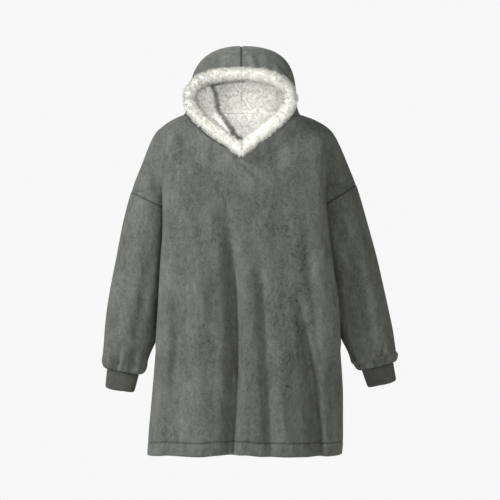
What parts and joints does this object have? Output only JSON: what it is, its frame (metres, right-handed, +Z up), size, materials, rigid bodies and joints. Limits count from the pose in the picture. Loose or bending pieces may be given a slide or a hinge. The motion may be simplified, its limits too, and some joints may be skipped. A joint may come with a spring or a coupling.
{
  "type": "wearable blanket",
  "caption": "Hooded plush wearable blanket, filled out as if worn, with dropped shoulders, rib cuffs, a curly fleece lined hood and a turned-up hem.",
  "frame": {"origin": "between the two shoulder points of the neck, where the wearer's shoulders carry the garment", "axes": "+Z up towards the hood, -Y the front, +X towards the wearer's left"},
  "size_m": [0.7977, 0.3122, 1.1061],
  "materials": {
    "plush": "grey-green short plush with a brushed, mottled nap and a soft sheen",
    "rib_knit": "dark grey rib knit, matte",
    "curly_fleece": "off-white curly fleece, matte"
  },
  "bodies": {
    "root": {"front_panel": "plush", "back_panel": "plush", "sleeve_right": "plush", "sleeve_left": "plush", "cuff_right": "rib_knit", "cuff_left": "rib_knit", "hood_right": "plush", "hood_left": "plush", "hood_lining_right": "curly_fleece", "hood_lining_left": "curly_fleece", "hood_roll_right": "curly_fleece", "hood_roll_left": "curly_fleece", "neck_lining": "curly_fleece"}
  },
  "joints": []
}
